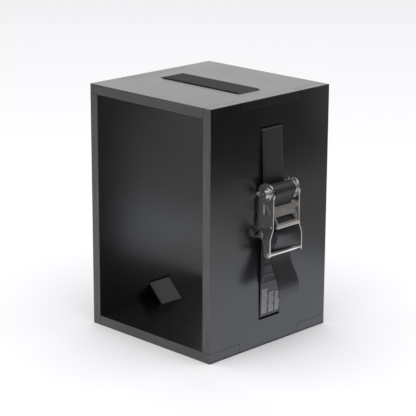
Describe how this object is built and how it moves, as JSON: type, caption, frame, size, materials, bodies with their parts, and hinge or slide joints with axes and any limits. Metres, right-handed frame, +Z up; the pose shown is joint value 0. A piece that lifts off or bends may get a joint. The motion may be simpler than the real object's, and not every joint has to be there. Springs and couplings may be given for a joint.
{
  "type": "strap-held knock-down apple box",
  "caption": "Tall open-ended apple box of finger-jointed black boards, drawn together by one webbing strap with a ratchet buckle.",
  "frame": {"origin": "centre of the standing face, under the middle of the box", "axes": "+X to the side with the ratchet, -Y to one open end, +Z up through the box's height"},
  "size_m": [0.3491, 0.3, 0.4521],
  "materials": {
    "black_board": "black film-faced board, satin",
    "black_webbing": "woven polyester webbing, slight sheen",
    "bright_steel": "polished stainless steel",
    "plated_steel": "plated steel, lightly brushed",
    "spring_steel": "bare spring wire"
  },
  "bodies": {
    "box": {"panel_top": "black_board", "panel_right": "black_board", "panel_bottom": "black_board", "panel_left": "black_board", "webbing_strap": "black_webbing", "webbing_tail": "black_webbing", "ratchet_frame": "bright_steel", "fixed_bolt": "bright_steel", "fixed_nut": "bright_steel", "bolt_sleeve": "plated_steel", "frame_pawl_spring": "spring_steel"},
    "frame_pawl": {"frame_pawl": "plated_steel"},
    "mandrel": {"mandrel_half_upper": "bright_steel", "mandrel_half_lower": "bright_steel", "ratchet_wheel_front": "plated_steel", "ratchet_wheel_back": "plated_steel", "mandrel_washer_front": "bright_steel", "mandrel_washer_back": "bright_steel", "cotter_pin_front": "plated_steel", "cotter_pin_back": "plated_steel", "webbing_roll": "black_webbing"},
    "handle": {"handle_cheek_front": "bright_steel", "handle_cheek_back": "bright_steel", "grip_rod": "bright_steel", "drive_pawl_spring_front": "spring_steel", "drive_pawl_spring_back": "spring_steel"},
    "drive_pawl": {"drive_pawl": "plated_steel"}
  },
  "joints": [
    {"name": "handle_swing", "type": "hinge", "parent": "box", "child": "handle", "pos_m": [0.17, 0, 0.287], "axis": [0, -1, 0], "range_deg": [0, 160]},
    {"name": "drive_pawl_slide", "type": "slide", "parent": "handle", "child": "drive_pawl", "axis": [0.4695, 0, -0.8829], "range_m": [0, 0.005], "stiffness_N_per_m": 1200, "springref_m": -0.006, "deforming": ["drive_pawl_spring_front", "drive_pawl_spring_back"]},
    {"name": "frame_pawl_slide", "type": "slide", "parent": "box", "child": "frame_pawl", "axis": [-0.2588, 0, -0.9659], "range_m": [0, 0.006], "stiffness_N_per_m": 1200, "springref_m": -0.006, "deforming": ["frame_pawl_spring"]},
    {"name": "mandrel_spin", "type": "hinge", "parent": "box", "child": "mandrel", "pos_m": [0.17, 0, 0.287], "axis": [0, -1, 0], "continuous": true}
  ]
}
